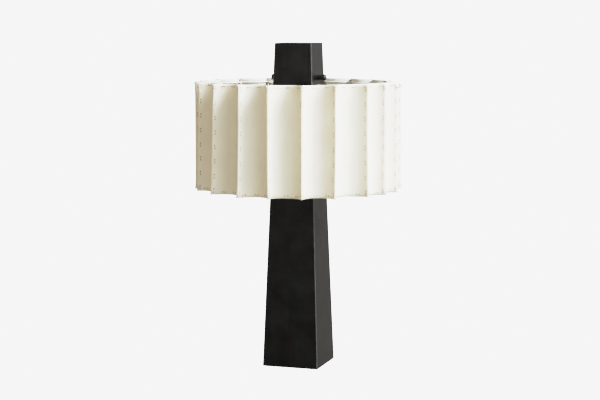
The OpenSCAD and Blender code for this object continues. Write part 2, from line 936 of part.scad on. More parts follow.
felt_pad();
base_plate();
base_screws();
corner_tabs();
ballast_block();
ballast_screws();
column_shell();
cord_grommet();
column_deck();
nipple();
nipple_nuts();
lock_washer();
harp_saddle();
harp_ferrules();
harp_bow();
harp_stud();
socket_cap();
socket_shell();
socket_liner();
socket_body();
socket_screw_shell();
socket_contact();
bulb_glass();
bulb_base();
bulb_insulator();
bulb_contact();
spider_hub();
spider_arms();
shade_top_ring();
shade_bottom_ring();
shade_uprights();
shade_panels();
spacer_collar();
cap_seat();
clamp_strap();
strap_washer();
strap_nut();
cap_shell();
cap_top();
weld_nuts();
right_pad();
right_thumb_screw();
left_pad();
left_thumb_screw();
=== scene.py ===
"""A table lamp with a tapered column of blackened steel and a fluted, hand-stitched parchment shade."""

import math
import random

import bmesh
import bpy
from bpy.props import FloatProperty, FloatVectorProperty, IntProperty, PointerProperty
from bpy.types import NodeSocket, Operator, Panel, PropertyGroup
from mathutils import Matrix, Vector, noise


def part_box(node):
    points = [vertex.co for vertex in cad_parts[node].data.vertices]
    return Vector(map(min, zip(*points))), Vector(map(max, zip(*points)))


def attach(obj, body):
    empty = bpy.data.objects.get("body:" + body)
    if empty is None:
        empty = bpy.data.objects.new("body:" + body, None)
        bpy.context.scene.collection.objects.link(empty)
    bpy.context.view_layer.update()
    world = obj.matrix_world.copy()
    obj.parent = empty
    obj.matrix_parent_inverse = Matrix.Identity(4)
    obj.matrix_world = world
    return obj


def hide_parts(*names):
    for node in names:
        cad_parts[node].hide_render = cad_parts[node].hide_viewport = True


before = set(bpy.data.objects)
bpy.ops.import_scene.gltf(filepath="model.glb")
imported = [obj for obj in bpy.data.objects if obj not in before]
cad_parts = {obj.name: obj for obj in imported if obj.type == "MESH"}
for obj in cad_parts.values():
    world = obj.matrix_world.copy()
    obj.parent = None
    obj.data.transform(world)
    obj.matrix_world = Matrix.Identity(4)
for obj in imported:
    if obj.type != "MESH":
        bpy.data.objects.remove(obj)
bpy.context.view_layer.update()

bl_info = {
    "name": "Fluted Parchment Table Lamp",
    "version": (1, 0, 0),
    "blender": (4, 5, 0),
    "location": "View3D > Sidebar > Lamp",
    "description": "Dresses a table lamp with a blackened steel column and a stitched parchment shade",
    "category": "Add Mesh",
}

MM = 0.001

# How the film answers to light: straight in the shadows, with a soft shoulder to its white
FILM = (
    (0.0, 0.0), (0.5, 0.5), (0.66, 0.617), (0.79, 0.687),
    (0.96, 0.745), (1.2, 0.795), (1.8, 0.87), (2.8, 0.915),
)

FRAME_WIDTH = 36  # mm across the camera's sensor
CAMERA_RANGE = (0.1, 100)  # metres from the camera to the nearest and farthest that it sees

# Places of the suns: degrees from the camera's side towards the right, and degrees up
KEY_PLACE = (69, 39)
FILL_PLACE = (38, 30)
SUN_SPREAD = 30  # degrees across, which makes the shadows soft
SUN_DISTANCE = 5  # metres, which matters in the viewport alone
SIDE_FADE = 0.9  # cosine from its bright side at which the room light is full, and dim opposite
FLOOR_FADE = (-0.15, 0.1)  # sines of the rise between which the weaker light from below gives way
STAGE_REACH = 20  # metres from the lamp's axis to the end of floor and backdrop
STAGE_BASE = 0.05  # share of the backdrop's tone that other light falls on, beside its own glow
# Painted shade: the column is darker than the cap, and darker still towards its foot, as the lampshade
# and the floor shade it.
COLUMN_SHADE_SHARES = (0.6, 0.95)  # tone of the column at its foot and at its top, against the cap's
# Painted highlight: the ground arrises are worn bright, and painted brighter as the highlight that a
# rounded edge would catch.
ARRIS_WEAR_AND_HIGHLIGHT = (1.0 * MM, 1.7 * MM)  # from an arris to where its bright steel fades and ends
ARRIS_STRAY = 0.35 * MM  # how far the edge of that wear wanders
TWIST = 1.2 * MM  # from one strand of the thread to the next

# Degrees that each ridge's top runs ahead of its middle, in turn from the ridge at the front
LEANS = (
    0.0, 0.0, 0.0, -0.3, 0.0, 0.2, 0.0, 0.5, -0.4, 0.0,
    0.3, 0.0, 0.0, -0.3, 0.4, 0.0, 0.0, 2.0, 1.5, 0.4,
)

# Noise along the ridges and flutes: its step from one to the next, its waves in a metre, its layer
WAVER_NOISE = (3.7, 7, 0.5)
DENT_NOISE = (5.3, 9, 7.5)
BEND_NOISE = (2.3, 6, 3.5)
RIDGE_DENT = 1 * MM  # how far the ridges are pushed in at most
RIDGE_INSET = 0.4 * MM  # how far they are set back to let them waver near the CAD's box
FLUTE_DEPTH = 26 * MM  # from the line between two ridges in to the middle of their flute
BEND_STRAY = 0.05  # share by which a flute is bent more or less than the others

# The panels' loose corners and cut ends
SHEET_SEED = 40  # is added to a panel's number for its random draws
LEVEL_STRAY = 6 * MM  # how far a level row of stitches may be off the panel's middle line
CURLS = (-0.3, 1.0)  # shares of the ear that a corner may curl by, inwards if below 0
CURL_HEIGHT = 9 * MM  # distance from the panel's end over which a curl dies away
CURL_WIDTH = 7 * MM  # the same from its side edge
CURL_LENGTH = 0.6  # brings the sum of the two directions of a curl back to about 1
END_WAVE = 1.1 * MM  # how far the cut ends run up and down
END_WAVES = (25, 25, 3)  # waves of the cut ends in a metre along each axis
SAME_CUT = 0.1 * MM  # cuts that are no further apart are made once
CUT_SLACK = 1e-7  # metres within which a corner counts as on the cut

# Noise of the holes beside the ridges and in the level rows: its steps to the next ridge or panel,
# stitch, hole and side, and from how far a hole strays across to how far it strays up
SIDE_HOLES = (1.7, 2.3, 1.1, 4.5, (9, 0, 0))
LEVEL_HOLES = (3.1, 2.7, 1.3, 6.5, (0, 9, 0))

# The shade's wires
WIRE_GAP = 0.1 * MM  # between a ring's wire and the inner face of the parchment
WIRE_SIDES = 10  # flats round a wire
UPRIGHT_STEPS = 10  # lengths along an upright wire
RING_STEPS = 16  # lengths of a ring's wire along one flute
RING_TRIM = 0.002  # share of half a flute by which a ring's wire is shortened at a time
BEAD_OUT = 0.6  # how far a drop of weld sits out from the wire's middle, in shares of its radius
BEAD_RADIUS = 1.5  # radius of that drop, in the same shares

# A stitch on the outer face: share of the way from hole to hole, and mm that it stands out
STITCH = ((0, -1.6), (0.08, 0.0), (0.5, 0.2), (0.92, 0.0), (1, -1.6))
STITCH_RISE = 0.6  # how far the thread's middle lies over the face, in shares of its radius
STITCH_SIDES = 5  # flats round its thread

# Its loop behind a ridge's wire: share of the way aside, then shares of the wire's radius and of the
# thread's by which it lies inwards
LOOP = ((-1, 0.3, 0.0), (-0.5, 1.0, 0.6), (0.5, 1.0, 0.6), (1, 0.3, 0.0))
LOOP_SIDES = 4  # flats round its thread


def even(low, high, steps):
    """Places from one end to the other in even steps, both ends with them."""
    return [low + (high - low) / steps * i for i in range(steps + 1)]


def hand_noise(number, height, pattern):
    """Smooth noise between about -1 and 1 up one ridge or flute, and unlike that on the next one."""
    step, waves, layer = pattern
    return noise.noise(Vector((number * step, height * waves, layer)))


def hand_stray(pattern, piece, stitch, hole, side):
    """How far the hand strayed from a hole's place on the flat sheet."""
    by_piece, by_stitch, by_hole, by_side, aside = pattern
    key = Vector((piece * by_piece, stitch * by_stitch + hole * by_hole, side * by_side))
    return Vector((noise.noise(key), noise.noise(key + Vector(aside)), 0)) * settings().shade.stray


def outwards(spot):
    """Level direction from the lamp's axis through a point."""
    return Vector((spot.x, spot.y, 0)).normalized()


def linear(code):
    """Turns an sRGB hex colour into linear red, green and blue."""
    channels = [int(code[i:i + 2], 16) / 255 for i in (1, 3, 5)]
    return tuple(c / 12.92 if c <= 0.04045 else ((c + 0.055) / 1.055) ** 2.4 for c in channels)


def size(name, about, millimetres):
    """A length that the sidebar shows in the scene's unit."""
    return FloatProperty(
        name=name, description=about, default=millimetres * MM, min=0.0, subtype="DISTANCE",
        unit="LENGTH", precision=4,
    )


def quantity(name, about, default):
    """A plain number that isn't below 0."""
    return FloatProperty(name=name, description=about, default=default, min=0.0)


def angle(name, about, degrees):
    """An angle that the sidebar shows in degrees."""
    return FloatProperty(
        name=name, description=about, default=math.radians(degrees), subtype="ANGLE", unit="ROTATION",
    )


def colour(name, about, code):
    """A colour that the sidebar shows as a swatch."""
    return FloatVectorProperty(
        name=name, description=about, default=linear(code), size=3, min=0.0, max=1.0, subtype="COLOR",
    )


class LampShadeSizes(PropertyGroup):
    """Sizes of the parchment panels and of their stitching."""

    sheet: size("Sheet", "Thickness of the parchment", 1.0)
    edge_gap: size("Edge gap", "Gap between the edges of neighbouring panels at a ridge", 0.3)
    waver: size("Waver", "How far the hand-cut ridges stray from a straight line", 1.2)
    ear: size("Ear", "How far the loose corners of the panels curl out at most", 3.0)
    hole: size("Hole", "Diameter of each stitch hole, a dark spot with its thread in it", 1.8)
    # The soiled rim round each hole is also painted shade, which darkens the hole.
    stain_and_hole_shade: size("Stain", "Diameter of the soiled rim round each hole", 3.8)
    stray: size("Stray", "How far the holes stray from their lines", 1.2)
    pair: size("Pair", "Distance between the two holes of one stitch", 6.5)
    row_inset: size("Row inset", "Distance of the upright rows from the panel's edges", 6)
    end_inset: size("End inset", "Distance of the level rows from the panel's ends", 5.5)
    spacing: size("Spacing", "Distance between the stitches of a level row", 26)
    thread: size("Thread", "Thickness of the lacing thread", 0.8)
    rows: IntProperty(
        name="Rows", description="Stitches along each upright edge of a panel", default=8, min=2,
    )
    columns: IntProperty(name="Columns", description="Facets across each panel", default=22, min=8)


class LampColours(PropertyGroup):
    """Colours of the lamp's finishes."""

    patina: colour("Patina", "Blackened steel of the column and the cap", "#2c2c2e")
    # Edge colour: real wear, and the painted highlight along the arrises.
    worn_edge_and_highlight: colour("Worn edge", "Steel that shows along the ground arrises", "#5b5b5c")
    parchment: colour("Parchment", "Cream sheet of the shade", "#dfd7c3")
    # Colour round the holes: soiling, and painted shade of the holes.
    stain_and_hole_shade: colour("Stain", "Soiled parchment round the stitch holes", "#6f614c")
    # Inner paper colour, darker than the paper as painted shade inside the lampshade.
    shaded_lining: colour("Lining", "Paper that lines the parchment inside the shade", "#c2bfb6")
    thread: colour("Thread", "Waxed linen thread of the stitches", "#c4b697")
    wire: colour("Wire", "Powder coat on the shade's wire frame", "#cbc7bd")
    brass: colour("Brass", "Lacquered brass of the socket and the harp", "#c9a45c")
    zinc: colour("Zinc", "Zinc plating on the screws, nuts and washers", "#a9acb0")


class LampStageSettings(PropertyGroup):
    """The plain stage: camera, floor and lights."""

    lens: FloatProperty(
        name="Lens", description="Focal length of the camera", default=96.0, min=10.0, unit="CAMERA",
    )
    distance: size("Distance", "Level distance of the camera from the lamp's axis", 3514)
    height: size("Height", "Height of the camera above the floor", 771)
    turn: angle("Turn", "Turn of the camera from straight in front towards the right", 18)
    pitch: angle("Pitch", "How far the camera looks down", 6.59)
    shift: FloatProperty(
        name="Shift", description="Sideways shift of the frame, in frame widths", default=0.00207,
    )
    backdrop: colour("Backdrop", "Pale floor and background", "#f7f7f8")
    backdrop_glow: quantity("Backdrop glow", "Brightness of the floor and background to the eye", 3.2)
    dim_glow: quantity("Dim glow", "Soft light that comes from the left", 0.6)
    bright_glow: quantity("Bright glow", "Soft light that comes from the right", 1.28)
    bright_side: angle("Bright side", "Turn of the brightest side from the camera towards the right", 57)
    dim_tone: colour("Dim tone", "Colour of the soft light from the left", "#ffebc4")
    bright_tone: colour("Bright tone", "Colour of the light from the right and of the suns", "#f0f8ff")
    floor_share: quantity("Floor share", "Share of the soft light which also comes up from below", 0.6)
    key: quantity("Key", "Strength of the sun on the right", 10.8)
    fill: quantity("Fill", "Strength of the sun nearer the camera", 1.5)


class LampSettings(PropertyGroup):
    """Everything that a user would change."""

    shade: PointerProperty(type=LampShadeSizes)
    colours: PointerProperty(type=LampColours)
    stage: PointerProperty(type=LampStageSettings)


def add_node(tree, kind, inputs=None, **properties):
    """Adds one shader node, sets its properties, and fills or links its inputs."""
    node = tree.nodes.new(kind)
    for name, value in properties.items():
        setattr(node, name, value)
    for name, value in (inputs or {}).items():
        if isinstance(value, NodeSocket):
            tree.links.new(value, node.inputs[name])
        else:
            node.inputs[name].default_value = value
    return node


def rgba(tone):
    """A linear colour with full alpha, as colour sockets take it."""
    return (*tone[:3], 1.0)


def new_finish(name, roughness, metallic=0.0):
    """A material with its Principled shader, and the Object coordinates that its patterns read."""
    material = bpy.data.materials.new(name)
    material.use_nodes = True
    tree = material.node_tree
    shader = tree.nodes["Principled BSDF"]
    shader.inputs["Metallic"].default_value = metallic
    shader.inputs["Roughness"].default_value = roughness
    place = add_node(tree, "ShaderNodeTexCoord").outputs["Object"]
    return material, tree, shader, place


def grain(tree, place, millimetres, detail, stretch=(1.0, 1.0, 1.0), roughness=0.55):
    """Noise with blotches about as wide as given, and longer along an axis of low stretch."""
    drawn = add_node(tree, "ShaderNodeMapping", {"Vector": place, "Scale": stretch})
    pattern = add_node(
        tree, "ShaderNodeTexNoise",
        {
            "Vector": drawn.outputs["Vector"], "Scale": 1 / (millimetres * MM), "Detail": detail,
            "Roughness": roughness,
        },
    )
    return pattern.outputs["Fac"]


def remap(tree, value, low, high, out_low=0.0, out_high=1.0):
    """Spreads the values between low and high over a new range, and holds them there."""
    node = add_node(
        tree, "ShaderNodeMapRange",
        {"Value": value, "From Min": low, "From Max": high, "To Min": out_low, "To Max": out_high},
    )
    return node.outputs["Result"]


def blend_tones(tree, amount, first, second):
    """Goes from the first colour to the second as amount goes from 0 to 1."""
    node = add_node(tree, "ShaderNodeMix", data_type="RGBA")
    tree.links.new(amount, node.inputs["Factor"])
    for socket, tone in ((node.inputs[6], first), (node.inputs[7], second)):
        if isinstance(tone, NodeSocket):
            tree.links.new(tone, socket)
        else:
            socket.default_value = rgba(tone)
    return node.outputs[2]


def paint(tree, shader, amount, first, second):
    """Colours a finish from the first tone to the second as amount goes from 0 to 1."""
    tree.links.new(blend_tones(tree, amount, first, second), shader.inputs["Base Color"])


def roughen(tree, shader, height, depth_mm, strength):
    """Gives the shader a bump of that depth from a height between 0 and 1."""
    bump = add_node(
        tree, "ShaderNodeBump", {"Height": height, "Distance": depth_mm * MM, "Strength": strength},
    )
    tree.links.new(bump.outputs["Normal"], shader.inputs["Normal"])


def scaled(tone, factor):
    """A colour made lighter or darker."""
    return tuple(min(1.0, c * factor) for c in tone[:3])


def arris_distance(tree, place, foot, foot_z, top, top_z):
    """Distance along a face to its nearest upright arris, on a square block with sides foot and top."""
    parts = add_node(tree, "ShaderNodeSeparateXYZ", {"Vector": place})
    across = add_node(tree, "ShaderNodeMath", {0: parts.outputs["X"]}, operation="ABSOLUTE")
    along = add_node(tree, "ShaderNodeMath", {0: parts.outputs["Y"]}, operation="ABSOLUTE")
    reach = add_node(
        tree, "ShaderNodeMath", {0: across.outputs[0], 1: along.outputs[0]}, operation="ADD",
    )
    side = remap(tree, parts.outputs["Z"], foot_z, top_z, foot, top)
    left = add_node(tree, "ShaderNodeMath", {0: side, 1: reach.outputs[0]}, operation="SUBTRACT")
    return left.outputs[0]


def blackened_steel(name, colours, foot, foot_z, top, top_z, shares=(1.0, 1.0)):
    """Mild steel sheet, ground, welded, blackened and waxed: satin, mottled, with wear and a painted
    highlight along the arrises.

    Painted shade: the tone is darker where the shares at the foot and at the top are lower.
    """
    material, tree, shader, place = new_finish(name, 0.42, metallic=1.0)
    cloud = remap(tree, grain(tree, place, 55, 3), 0.35, 0.7)
    speck = remap(tree, grain(tree, place, 3.5, 2), 0.62, 0.78)
    streak = remap(tree, grain(tree, place, 9, 3, (1.0, 1.0, 0.12)), 0.45, 0.75)
    tone = blend_tones(tree, cloud, scaled(colours.patina, 0.72), scaled(colours.patina, 1.25))
    tone = blend_tones(tree, remap(tree, streak, 0, 1, 0, 0.35), tone, linear("#26221c"))
    tone = blend_tones(tree, remap(tree, speck, 0, 1, 0, 0.25), tone, linear("#3a3733"))
    # Painted shade: the tone is scaled down towards the foot by the shares.
    rise = add_node(tree, "ShaderNodeSeparateXYZ", {"Vector": place}).outputs["Z"]
    depth = remap(tree, rise, foot_z, top_z, *shares)
    tone = add_node(
        tree, "ShaderNodeVectorMath", {0: tone, "Scale": depth}, operation="SCALE",
    ).outputs["Vector"]
    near = arris_distance(tree, place, foot, foot_z, top, top_z)
    jitter = remap(tree, grain(tree, place, 7, 4), 0.3, 0.7, -ARRIS_STRAY, ARRIS_STRAY)
    near = add_node(tree, "ShaderNodeMath", {0: near, 1: jitter}, operation="ADD").outputs[0]
    # Painted highlight with wear: bright steel along each arris.
    bright = remap(tree, near, *ARRIS_WEAR_AND_HIGHLIGHT, 1.0, 0.0)
    paint(tree, shader, bright, tone, colours.worn_edge_and_highlight)
    tree.links.new(remap(tree, cloud, 0, 1, 0.38, 0.48), shader.inputs["Roughness"])
    roughen(tree, shader, grain(tree, place, 1.6, 4, (1.0, 1.0, 0.5)), 0.05, 0.5)
    return material


def black_turned_steel(colours):
    """Turned steel, blackened: a little glossier than the sheet, with fine rings from the lathe."""
    material, tree, shader, place = new_finish("black_turned_steel", 0.36, metallic=1.0)
    cloud = remap(tree, grain(tree, place, 5, 3), 0.35, 0.7)
    paint(tree, shader, cloud, scaled(colours.patina, 1.4), scaled(colours.patina, 2.2))
    roughen(tree, shader, grain(tree, place, 0.5, 2, (1.0, 0.02, 0.02)), 0.02, 0.5)
    return material


def zinc_plate(colours):
    """Bright zinc over steel: grey, slightly cloudy crystals."""
    material, tree, shader, place = new_finish("zinc_plate", 0.34, metallic=1.0)
    cloud = remap(tree, grain(tree, place, 4, 4), 0.3, 0.7)
    paint(tree, shader, cloud, scaled(colours.zinc, 0.8), scaled(colours.zinc, 1.1))
    tree.links.new(remap(tree, cloud, 0, 1, 0.28, 0.42), shader.inputs["Roughness"])
    roughen(tree, shader, grain(tree, place, 0.8, 3), 0.02, 0.4)
    return material


def cast_iron():
    """Grey iron cast in sand: dull, dark and pitted."""
    material, tree, shader, place = new_finish("cast_iron", 0.62, metallic=1.0)
    pits = grain(tree, place, 2.2, 5)
    paint(tree, shader, remap(tree, pits, 0.35, 0.65), linear("#2b2a29"), linear("#4b4a48"))
    roughen(tree, shader, pits, 0.3, 0.7)
    return material


def lacquered_brass(colours):
    """Drawn brass under clear lacquer: warm, softly brushed, a little tarnished in clouds."""
    material, tree, shader, place = new_finish("lacquered_brass", 0.3, metallic=1.0)
    cloud = remap(tree, grain(tree, place, 12, 3), 0.35, 0.7)
    paint(tree, shader, cloud, scaled(colours.brass, 1.05), scaled(colours.brass, 0.72))
    tree.links.new(remap(tree, cloud, 0, 1, 0.24, 0.36), shader.inputs["Roughness"])
    roughen(tree, shader, grain(tree, place, 0.7, 2, (1.0, 1.0, 0.1)), 0.01, 0.4)
    return material


def nickel_plate():
    """Rolled nickel-plated shell of a bulb: pale, with soft dents of the rolling."""
    material, tree, shader, place = new_finish("nickel_plate", 0.26, metallic=1.0)
    shader.inputs["Base Color"].default_value = rgba(linear("#c9c7c1"))
    roughen(tree, shader, grain(tree, place, 6, 2), 0.05, 0.4)
    return material


def opal_glass():
    """Blown glass coated white inside: smooth gloss over an even milky white."""
    material, tree, shader, place = new_finish("opal_glass", 0.16)
    haze = remap(tree, grain(tree, place, 22, 2), 0.3, 0.7)
    paint(tree, shader, haze, linear("#efede6"), linear("#f7f6f2"))
    shader.inputs["Subsurface Weight"].default_value = 0.2
    shader.inputs["Subsurface Radius"].default_value = (4 * MM, 4 * MM, 3.5 * MM)
    shader.inputs["Coat Weight"].default_value = 0.4
    return material


def black_glass():
    """Fused black glass round the bulb's contact."""
    material, tree, shader, place = new_finish("black_glass", 0.2)
    shader.inputs["Base Color"].default_value = rgba(linear("#151515"))
    roughen(tree, shader, grain(tree, place, 3, 2), 0.05, 0.5)
    return material


def glazed_porcelain():
    """Glazed ceramic of the socket's body: off-white with a wet gloss."""
    material, tree, shader, place = new_finish("glazed_porcelain", 0.18)
    cloud = remap(tree, grain(tree, place, 8, 2), 0.3, 0.7)
    paint(tree, shader, cloud, linear("#e3dfd3"), linear("#efede6"))
    return material


def vulcanised_fibre():
    """Pressed cotton fibre sleeve: matt brown with short dark flecks."""
    material, tree, shader, place = new_finish("vulcanised_fibre", 0.75)
    flecks = remap(tree, grain(tree, place, 1.6, 3, (1.0, 1.0, 0.4)), 0.45, 0.7)
    paint(tree, shader, flecks, linear("#77654e"), linear("#4e4030"))
    return material


def powder_coat(colours):
    """Powder coat baked on wire: off-white with a faint orange-peel."""
    material, tree, shader, place = new_finish("powder_coat", 0.42)
    cloud = remap(tree, grain(tree, place, 15, 2), 0.3, 0.7)
    paint(tree, shader, cloud, scaled(colours.wire, 0.92), scaled(colours.wire, 1.04))
    roughen(tree, shader, grain(tree, place, 0.9, 2), 0.04, 0.6)
    return material


def faces_axis(tree, place):
    """1 where a surface looks towards the lamp's upright axis, and 0 where it looks away."""
    plan = add_node(
        tree, "ShaderNodeVectorMath", {0: place, 1: (1, 1, 0)}, operation="MULTIPLY",
    ).outputs["Vector"]
    away = add_node(tree, "ShaderNodeVectorMath", {0: plan}, operation="NORMALIZE").outputs["Vector"]
    normal = add_node(tree, "ShaderNodeTexCoord").outputs["Normal"]
    facing = add_node(tree, "ShaderNodeVectorMath", {0: normal, 1: away}, operation="DOT_PRODUCT")
    return remap(tree, facing.outputs["Value"], -0.1, 0.0, 1.0, 0.0)


def parchment(colours):
    """Parchment backed with paper that is grey partly as painted shade: matt cream skin, cloudy, with
    faint veins and fine fibres.
    """
    material, tree, shader, place = new_finish("parchment", 0.62)
    cloud = remap(tree, grain(tree, place, 60, 4), 0.3, 0.7)
    vein = remap(tree, grain(tree, place, 14, 6, (1.0, 1.0, 0.35), 0.7), 0.42, 0.5)
    fibre = grain(tree, place, 1.4, 4, (1.0, 1.0, 0.25))
    tone = blend_tones(tree, cloud, scaled(colours.parchment, 0.96), scaled(colours.parchment, 1.03))
    tone = blend_tones(tree, remap(tree, vein, 0, 1, 0.12, 0.0), tone, scaled(colours.parchment, 0.86))
    # Painted shade of the holes, with soiling: a dark rim round each hole.
    hole_soil_and_shade = add_node(tree, "ShaderNodeAttribute", attribute_name="stain_and_hole_shade").outputs["Fac"]
    tone = blend_tones(tree, remap(tree, hole_soil_and_shade, 0.15, 0.9, 0.0, 0.85), tone, colours.stain_and_hole_shade)
    # Painted shade: faces towards the axis take the grey inner colour.
    paint(tree, shader, faces_axis(tree, place), tone, colours.shaded_lining)
    tree.links.new(remap(tree, fibre, 0.3, 0.7, 0.55, 0.7), shader.inputs["Roughness"])
    shader.inputs["Specular IOR Level"].default_value = 0.3
    roughen(tree, shader, fibre, 0.06, 0.35)
    return material


def waxed_thread(colours):
    """Waxed linen thread: soft gloss, with the twist of its strands."""
    material, tree, shader, place = new_finish("waxed_thread", 0.55)
    twist = add_node(
        tree, "ShaderNodeTexWave", {"Vector": place, "Scale": 1 / TWIST, "Distortion": 1.0},
        bands_direction="DIAGONAL",
    ).outputs["Fac"]
    paint(tree, shader, twist, scaled(colours.thread, 0.8), scaled(colours.thread, 1.05))
    return material


def wool_felt():
    """Pressed wool felt under the foot: dark, matt and fuzzy."""
    material, tree, shader, place = new_finish("wool_felt", 0.95)
    fuzz = grain(tree, place, 1.1, 5)
    paint(tree, shader, remap(tree, fuzz, 0.35, 0.65), linear("#1d1d1c"), linear("#33332f"))
    shader.inputs["Sheen Weight"].default_value = 0.3
    roughen(tree, shader, fuzz, 0.3, 0.8)
    return material


def moulded_rubber():
    """Moulded black rubber of the grommet: matt, with a faint bloom."""
    material, tree, shader, place = new_finish("moulded_rubber", 0.7)
    bloom = remap(tree, grain(tree, place, 6, 3), 0.4, 0.7)
    paint(tree, shader, bloom, linear("#141414"), linear("#232322"))
    return material


def dress(material, *nodes):
    """Puts a finish on CAD nodes, whose meshes stay as they are."""
    for name in nodes:
        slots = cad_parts[name].data.materials
        slots.clear()
        slots.append(material)


def add_piece(name, mesh_maker, material, body, slot, *replaced):
    """Makes a new piece from a bmesh, with its finish, that rides on its body."""
    mesh = bpy.data.meshes.new(name)
    mesh_maker.to_mesh(mesh)
    mesh_maker.free()
    mesh.materials.append(material)
    piece = bpy.data.objects.new(name, mesh)
    bpy.context.scene.collection.objects.link(piece)
    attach(piece, body)
    if replaced:
        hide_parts(*replaced)
    return piece


def settings():
    """The lamp's settings in this scene."""
    return bpy.context.scene.lamp


def upright_places():
    """Turn and reach of the upright wires round the axis, in turn from the one at the front."""
    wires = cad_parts["shade_uprights"].data.vertices
    front = math.radians(-95)  # the count starts a little before the front, clear of any wire
    clear = math.radians(4)  # the vertices of one wire are closer together, and two wires further apart
    spots = sorted(((math.atan2(v.co.y, v.co.x) - front) % math.tau, v.co.xy.length) for v in wires)
    groups = [[spots[0]]]
    for spot in spots[1:]:
        if spot[0] - groups[-1][-1][0] > clear:
            groups.append([])
        groups[-1].append(spot)
    places = []
    for group in groups:
        turns = [turn for turn, _ in group]
        reaches = [reach for _, reach in group]
        places.append(((min(turns) + max(turns)) / 2 + front, (min(reaches) + max(reaches)) / 2))
    return places


class Shade:
    """Where the hand-set ridges and wires of the shade stand at any height."""

    def __init__(self):
        low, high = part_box("shade_panels")
        self.low, self.high = low.z, high.z
        self.middle = (low.z + high.z) / 2
        self.wires = upright_places()
        self.count = len(self.wires)
        self.leans = [math.radians(LEANS[number % len(LEANS)]) for number in range(self.count)]
        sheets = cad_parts["shade_panels"].data.vertices
        self.reach = max(v.co.xy.length for v in sheets) - RIDGE_INSET
        half_chord = self.reach * math.sin(math.pi / self.count)
        self.bend = FLUTE_DEPTH / half_chord
        bottom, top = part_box("shade_bottom_ring"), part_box("shade_top_ring")
        self.wire_radius = (top[1].z - top[0].z) / 2
        self.ring_heights = ((bottom[0].z + bottom[1].z) / 2, (top[0].z + top[1].z) / 2)

    def turn(self, number, height):
        """Turn of a ridge round the axis at a height; numbers past the last ridge go round again."""
        lap, ridge = divmod(number, self.count)
        share = (height - self.middle) / (self.high - self.middle)
        stray = hand_noise(ridge, height, WAVER_NOISE) * settings().shade.waver
        return self.wires[ridge][0] + lap * math.tau + self.leans[ridge] * share + stray / self.reach

    def tip(self, number, height):
        """Point of a ridge at a height, on the plan."""
        dent = abs(hand_noise(number % self.count, height, DENT_NOISE)) * RIDGE_DENT
        turn = self.turn(number, height)
        return Vector((math.cos(turn), math.sin(turn), 0)) * (self.reach - dent)

    def wire(self, number, height, inwards=0.0):
        """Middle of a ridge's upright wire at a height."""
        turn = self.turn(number, height)
        reach = self.wires[number % self.count][1] - inwards
        return Vector((math.cos(turn) * reach, math.sin(turn) * reach, height))

    def ring_path(self, number, height):
        """Middle line of a ring's wire behind one panel, which ends beside the ridges' wires."""
        flute = Flute(self, number, height)
        inwards = self.wire_radius + WIRE_GAP
        turn = self.turn(number + 1, height)
        across = Vector((-math.sin(turn), math.cos(turn), 0))
        reach = 1.0
        while abs(across.dot(flute.place(reach, inwards))) < self.wire_radius:
            reach -= RING_TRIM
        return [flute.place(share, inwards) for share in even(-reach, reach, RING_STEPS)]


class Flute:
    """The plan of one panel at one height: an arc that hangs inwards between two ridges."""

    def __init__(self, shade, number, height):
        first, second = shade.tip(number, height), shade.tip(number + 1, height)
        bend = shade.bend * (1 + BEND_STRAY * hand_noise(number, height, BEND_NOISE))
        half = (second - first).length / 2
        self.along = (second - first).normalized()
        self.out = Vector((self.along.y, -self.along.x, 0))
        self.radius = half * (1 + bend ** 2) / (2 * bend)
        self.centre = (first + second) / 2 + self.out * (self.radius - half * bend)
        self.half_angle = 2 * math.atan(bend)
        self.height = height

    def place(self, share, inwards):
        """Point at a distance inside the arc, whose middle is at 0 and its ridges at -1 and 1."""
        swing = share * self.half_angle
        way = self.along * math.sin(swing) - self.out * math.cos(swing)
        spot = self.centre + way * (self.radius + inwards)
        return Vector((spot.x, spot.y, self.height))

    def facing(self, share):
        """Direction that the outer face looks in at a point of the arc."""
        swing = share * self.half_angle
        return self.out * math.cos(swing) - self.along * math.sin(swing)


